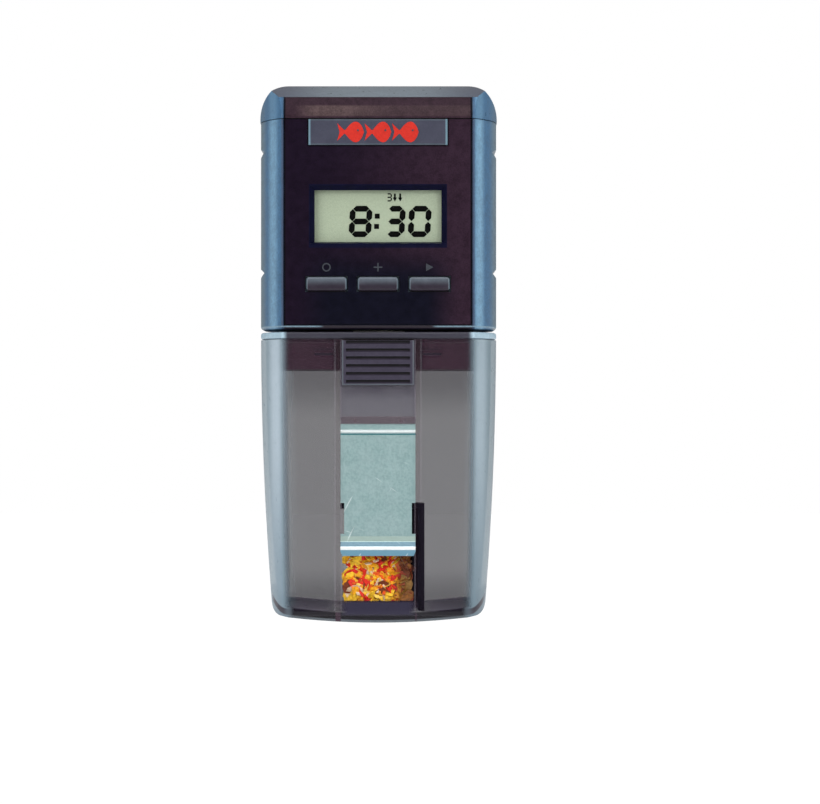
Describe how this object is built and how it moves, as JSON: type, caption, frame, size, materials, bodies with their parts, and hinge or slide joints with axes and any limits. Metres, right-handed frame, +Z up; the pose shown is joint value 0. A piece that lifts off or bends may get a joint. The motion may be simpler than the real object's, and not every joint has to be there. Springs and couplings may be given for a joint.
{
  "type": "automatic pet feeder",
  "caption": "Battery timer feeder for aquarium fish: a display head that turns a smoky see-through food drum with a sliding steel outlet shutter.",
  "frame": {"origin": "centre of the flat rear face of the timer housing, which sits against its bracket", "axes": "+Z up along the drum's turning axis, -Y out of the front panel, +X to the viewer's right when facing the front"},
  "size_m": [0.0724, 0.0592, 0.1623],
  "materials": {
    "housing": "satin, steel blue with a fine grain",
    "cap": "satin, steel blue",
    "smoke_panel": "glossy, dark smoky purple-brown",
    "badge": "satin slate with a red fish mark",
    "clear_window": "clear and glossy",
    "lcd": "pale grey-green liquid crystal with black segments",
    "rubber_strip": "zebra strip",
    "button": "satin slate",
    "legend": "dark moulded symbols",
    "board": "green solder mask",
    "screw": "zinc plated",
    "switch": "matte black",
    "component": "black epoxy and metal",
    "inner_plastic": "matte black",
    "cell": "printed foil sleeve, plain",
    "contact": "nickel plated",
    "axle": "polished",
    "motor_steel": "plated steel",
    "gear": "natural acetal",
    "brass_gear": "machined",
    "smoke_carrier": "translucent, dark smoky red-brown",
    "smoke_drum": "translucent smoke grey, frosted on the flanks",
    "dark_scoop": "dark translucent smoke",
    "smoke_slider": "translucent smoke grey",
    "grip": "satin grey with dark grooves",
    "steel_sheet": "satin stainless sheet, finely scratched"
  },
  "bodies": {
    "head": {"housing_shell": "housing", "front_fascia": "smoke_panel", "badge_plate": "badge", "display_lens": "clear_window", "lcd_glass": "lcd", "lcd_connectors": "rubber_strip", "button_legends": "legend", "circuit_board": "board", "board_screws": "screw", "tact_switches": "switch", "board_components": "component", "battery_tray": "inner_plastic", "battery_cells": "cell", "contact_spring": "contact", "contact_tab": "contact", "gear_axles": "axle", "gear_plate": "inner_plastic", "gear_plate_screws": "screw", "motor_can": "motor_steel", "motor_end_cap": "inner_plastic"},
    "cap": {"battery_cap": "cap", "cap_visor": "smoke_panel", "contact_bridge": "contact"},
    "carrier": {"drum_carrier": "smoke_carrier", "output_gear": "gear", "retaining_clip": "axle", "thrust_washer": "gear"},
    "stage_two": {"stage_two_gear": "gear"},
    "stage_one": {"stage_one_gear": "gear"},
    "rotor": {"motor_pinion": "brass_gear"},
    "drum": {"drum_shell": "smoke_drum", "dosing_scoop": "dark_scoop"},
    "slider": {"slider_strip": "smoke_slider", "thumb_grip": "grip", "shutter_plate": "steel_sheet"},
    "button_left": {"button_left": "button"},
    "button_middle": {"button_middle": "button"},
    "button_right": {"button_right": "button"}
  },
  "joints": [
    {"name": "drum_spin", "type": "hinge", "parent": "head", "child": "carrier", "pos_m": [0, -0.029, -0.03], "axis": [0, 0, 1], "continuous": true},
    {"name": "stage_two_spin", "type": "hinge", "parent": "head", "child": "stage_two", "pos_m": [-0.01351, -0.0368, -0.026], "axis": [0, 0, 1], "continuous": true},
    {"name": "stage_one_spin", "type": "hinge", "parent": "head", "child": "stage_one", "pos_m": [-0.02414, -0.03965, -0.022], "axis": [0, 0, 1], "continuous": true},
    {"name": "motor_spin", "type": "hinge", "parent": "head", "child": "rotor", "pos_m": [-0.01706, -0.03122, -0.02], "axis": [0, 0, 1], "continuous": true},
    {"name": "drum_release", "type": "slide", "parent": "carrier", "child": "drum", "axis": [0, 0, -1], "range_m": [0, 0.04]},
    {"name": "dose_slide", "type": "slide", "parent": "drum", "child": "slider", "axis": [0, 0, -1], "range_m": [0, 0.0134]},
    {"name": "button_left_press", "type": "slide", "parent": "head", "child": "button_left", "axis": [0, 1, 0], "range_m": [0, 0.0006], "stiffness_N_per_m": 400, "springref_m": -0.0005},
    {"name": "button_middle_press", "type": "slide", "parent": "head", "child": "button_middle", "axis": [0, 1, 0], "range_m": [0, 0.0006], "stiffness_N_per_m": 400, "springref_m": -0.0005},
    {"name": "button_right_press", "type": "slide", "parent": "head", "child": "button_right", "axis": [0, 1, 0], "range_m": [0, 0.0006], "stiffness_N_per_m": 400, "springref_m": -0.0005},
    {"name": "cap_lift", "type": "slide", "parent": "head", "child": "cap", "axis": [0, 0, 1], "range_m": [0, 0.025]}
  ],
  "couplings": [
    {"joint": "stage_two_spin", "follows": "drum_spin", "ratio": -3.3333},
    {"joint": "stage_one_spin", "follows": "drum_spin", "ratio": 8.8889},
    {"joint": "motor_spin", "follows": "drum_spin", "ratio": -23.704}
  ]
}
